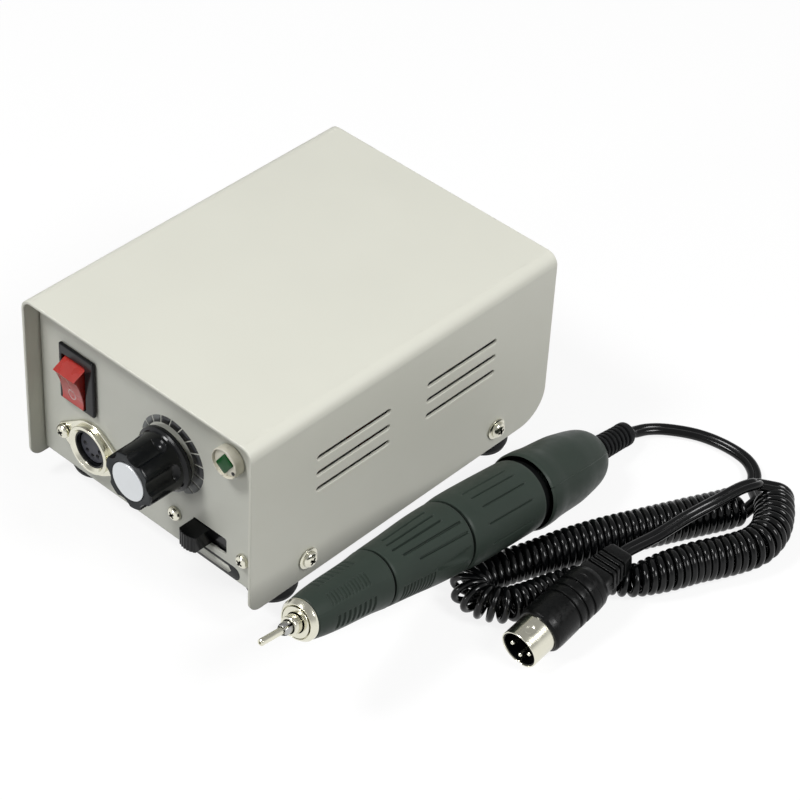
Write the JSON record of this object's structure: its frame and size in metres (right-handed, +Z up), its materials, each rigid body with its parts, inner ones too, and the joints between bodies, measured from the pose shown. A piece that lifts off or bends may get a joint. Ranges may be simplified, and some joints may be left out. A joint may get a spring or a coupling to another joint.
{
  "type": "dental laboratory micromotor",
  "caption": "Bench micromotor: sheet-metal control box with rocker, knob and slide switch, and a straight handpiece on a curly cord that ends in a round plug.",
  "frame": {"origin": "on the table, under the middle of the box that holds the control box and the handpiece, without the cord and its plug", "axes": "+Z up, +Y from the front panel to the rear panel, +X to the right seen from the front"},
  "size_m": [0.2063, 0.2121, 0.077],
  "materials": {
    "cream_enamel": "fine-textured cream enamel",
    "grey_enamel": "fine-textured grey enamel",
    "black_rubber": "matt",
    "nickel": "bright nickel plate",
    "steel": "satin",
    "black_plastic": "satin",
    "red_plastic": "satin red",
    "grey_plastic": "matt",
    "spun_aluminium": "spun rings",
    "white_plastic": "gloss",
    "green_lens": "clear green",
    "handpiece_coat": "matt dark green-grey coating",
    "laminations": "varnished steel sheet",
    "copper": "enamelled copper",
    "circuit_green": "solder mask",
    "ferrite": "matt ferrite",
    "carbon": "matt carbon",
    "black_vinyl": "gloss PVC"
  },
  "bodies": {
    "root": {"cover": "cream_enamel", "chassis": "grey_enamel", "foot_front_left": "black_rubber", "foot_front_right": "black_rubber", "foot_rear_left": "black_rubber", "foot_rear_right": "black_rubber", "strain_relief": "black_rubber", "mains_gland": "black_rubber", "cover_screw_front_left": "nickel", "cover_screw_front_right": "nickel", "cover_screw_rear_left": "nickel", "cover_screw_rear_right": "nickel", "socket_shell": "nickel", "socket_screw_left": "nickel", "socket_screw_right": "nickel", "potentiometer_nut": "nickel", "direction_switch_screw_left": "nickel", "direction_switch_screw_right": "nickel", "nose_ring": "nickel", "plug_shell": "nickel", "plug_pin_1": "nickel", "plug_pin_2": "nickel", "plug_pin_3": "nickel", "potentiometer_body": "steel", "foot_control_jack": "steel", "front_bearing": "steel", "rear_bearing": "steel", "rocker_housing": "black_plastic", "direction_switch_body": "black_plastic", "fuse_holder": "black_plastic", "plug_insert": "black_plastic", "plug_body": "black_plastic", "socket_insert": "grey_plastic", "pilot_lamp_bezel": "white_plastic", "pilot_lamp_lens": "green_lens", "nose_cone": "handpiece_coat", "motor_housing": "handpiece_coat", "rear_cap": "handpiece_coat", "transformer_core": "laminations", "transformer_winding": "copper", "circuit_board": "circuit_green", "magnet": "ferrite", "brush_left": "carbon", "brush_right": "carbon", "curly_cord": "black_vinyl", "cord_lead_handpiece": "black_vinyl", "cord_lead_plug": "black_vinyl"},
    "rocker": {"power_rocker": "red_plastic"},
    "knob": {"speed_knob": "black_plastic", "knob_cap": "spun_aluminium", "potentiometer_shaft": "steel"},
    "lever": {"direction_lever": "black_plastic"},
    "chuck": {"chuck_sleeve": "handpiece_coat"},
    "rotor_train": {"spindle": "nickel", "collet_spring": "steel", "coupling": "black_plastic", "rotor": "laminations", "commutator": "copper"},
    "collet_and_mandrel": {"collet": "steel", "mandrel": "nickel"}
  },
  "joints": [
    {"name": "power_rocker_tilt", "type": "hinge", "parent": "root", "child": "rocker", "pos_m": [-0.05345, -0.05358, 0.0501], "axis": [-1, 0, 0], "range_deg": [0, 30]},
    {"name": "speed_knob_turn", "type": "hinge", "parent": "root", "child": "knob", "pos_m": [-0.00885, -0.05798, 0.0468], "axis": [0, 1, 0], "range_deg": [0, 300]},
    {"name": "direction_lever_slide", "type": "slide", "parent": "root", "child": "lever", "axis": [1, 0, 0], "range_m": [0, 0.007]},
    {"name": "chuck_sleeve_turn", "type": "hinge", "parent": "root", "child": "chuck", "pos_m": [0.06635, -0.07458, 0.03945], "axis": [-0.053, 0.9785, -0.1994], "range_deg": [0, 60]},
    {"name": "spindle_spin", "type": "hinge", "parent": "root", "child": "rotor_train", "pos_m": [0.06635, -0.07458, 0.03945], "axis": [-0.053, 0.9785, -0.1994], "continuous": true},
    {"name": "collet_slide", "type": "slide", "parent": "rotor_train", "child": "collet_and_mandrel", "axis": [0.053, -0.9785, 0.1994], "range_m": [0, 0.001]}
  ],
  "couplings": [
    {"joint": "collet_slide", "follows": "chuck_sleeve_turn", "m_per_rad": 0.00095}
  ]
}
